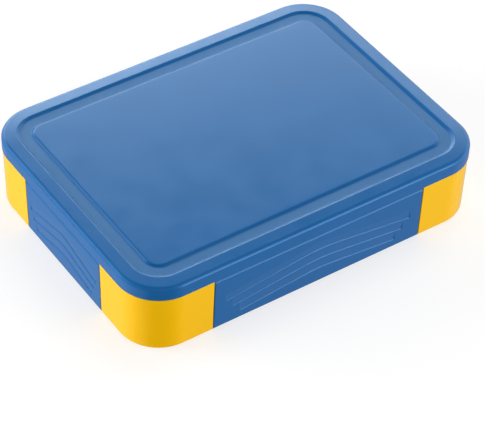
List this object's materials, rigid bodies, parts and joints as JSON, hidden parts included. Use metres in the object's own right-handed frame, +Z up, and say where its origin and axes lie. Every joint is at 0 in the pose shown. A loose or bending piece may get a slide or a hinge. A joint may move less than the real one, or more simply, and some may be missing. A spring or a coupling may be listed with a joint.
{
  "type": "bento lunch box",
  "caption": "Flat rounded lunch box: blue lid with hinged side flaps, yellow base with exposed corners, lift-out divided food tray and cutlery.",
  "frame": {"origin": "on the surface the box stands on, under the middle of the box", "axes": "+X along the box's length, front side faces -Y, +Z up through the lid"},
  "size_m": [0.24, 0.177, 0.049],
  "materials": {
    "lid_blue": "satin, fine texture",
    "flap_blue": "satin",
    "base_yellow": "semi-gloss",
    "tray_white": "smooth",
    "plate_clear": "smooth, slightly milky",
    "seal_silicone": "soft matt",
    "foot_silicone": "soft matt",
    "pin_steel": "drawn wire",
    "cutlery_steel": "polished"
  },
  "bodies": {
    "base": {"base_shell": "base_yellow", "base_feet": "foot_silicone"},
    "lid": {"lid_shell": "lid_blue", "inner_lid_plate": "plate_clear", "perimeter_gasket": "seal_silicone", "divider_gasket": "seal_silicone", "front_hinge_pin": "pin_steel", "back_hinge_pin": "pin_steel", "left_hinge_pin": "pin_steel", "right_hinge_pin": "pin_steel"},
    "front_flap": {"front_flap": "flap_blue"},
    "back_flap": {"back_flap": "flap_blue"},
    "left_flap": {"left_flap": "flap_blue"},
    "right_flap": {"right_flap": "flap_blue"},
    "tray": {"food_tray": "tray_white"},
    "divider": {"tray_divider": "tray_white"},
    "fork": {"fork": "cutlery_steel"},
    "spoon": {"spoon": "cutlery_steel"}
  },
  "joints": [
    {"name": "lid_lift", "type": "slide", "parent": "base", "child": "lid", "axis": [0, 0, 1], "range_m": [0, 0.16]},
    {"name": "front_flap_hinge", "type": "hinge", "parent": "lid", "child": "front_flap", "pos_m": [0, -0.0856, 0.03645], "axis": [-1, 0, 0], "range_deg": [0, 90]},
    {"name": "back_flap_hinge", "type": "hinge", "parent": "lid", "child": "back_flap", "pos_m": [0, 0.0856, 0.03645], "axis": [1, 0, 0], "range_deg": [0, 90]},
    {"name": "left_flap_hinge", "type": "hinge", "parent": "lid", "child": "left_flap", "pos_m": [-0.1171, 0, 0.03645], "axis": [0, 1, 0], "range_deg": [0, 90]},
    {"name": "right_flap_hinge", "type": "hinge", "parent": "lid", "child": "right_flap", "pos_m": [0.1171, 0, 0.03645], "axis": [0, -1, 0], "range_deg": [0, 90]},
    {"name": "tray_lift", "type": "slide", "parent": "base", "child": "tray", "axis": [0, 0, 1], "range_m": [0, 0.0601]},
    {"name": "divider_lift", "type": "slide", "parent": "tray", "child": "divider", "axis": [0, 0, 1], "range_m": [0, 0.0501]},
    {"name": "fork_lift", "type": "slide", "parent": "tray", "child": "fork", "axis": [0, 0, 1], "range_m": [0, 0.0501]},
    {"name": "spoon_lift", "type": "slide", "parent": "tray", "child": "spoon", "axis": [0, 0, 1], "range_m": [0, 0.0501]}
  ],
  "couplings": [
    {"joint": "tray_lift", "follows": "lid_lift", "ratio": 0.375},
    {"joint": "divider_lift", "follows": "lid_lift", "ratio": 0.3125},
    {"joint": "fork_lift", "follows": "lid_lift", "ratio": 0.3125},
    {"joint": "spoon_lift", "follows": "lid_lift", "ratio": 0.3125}
  ]
}
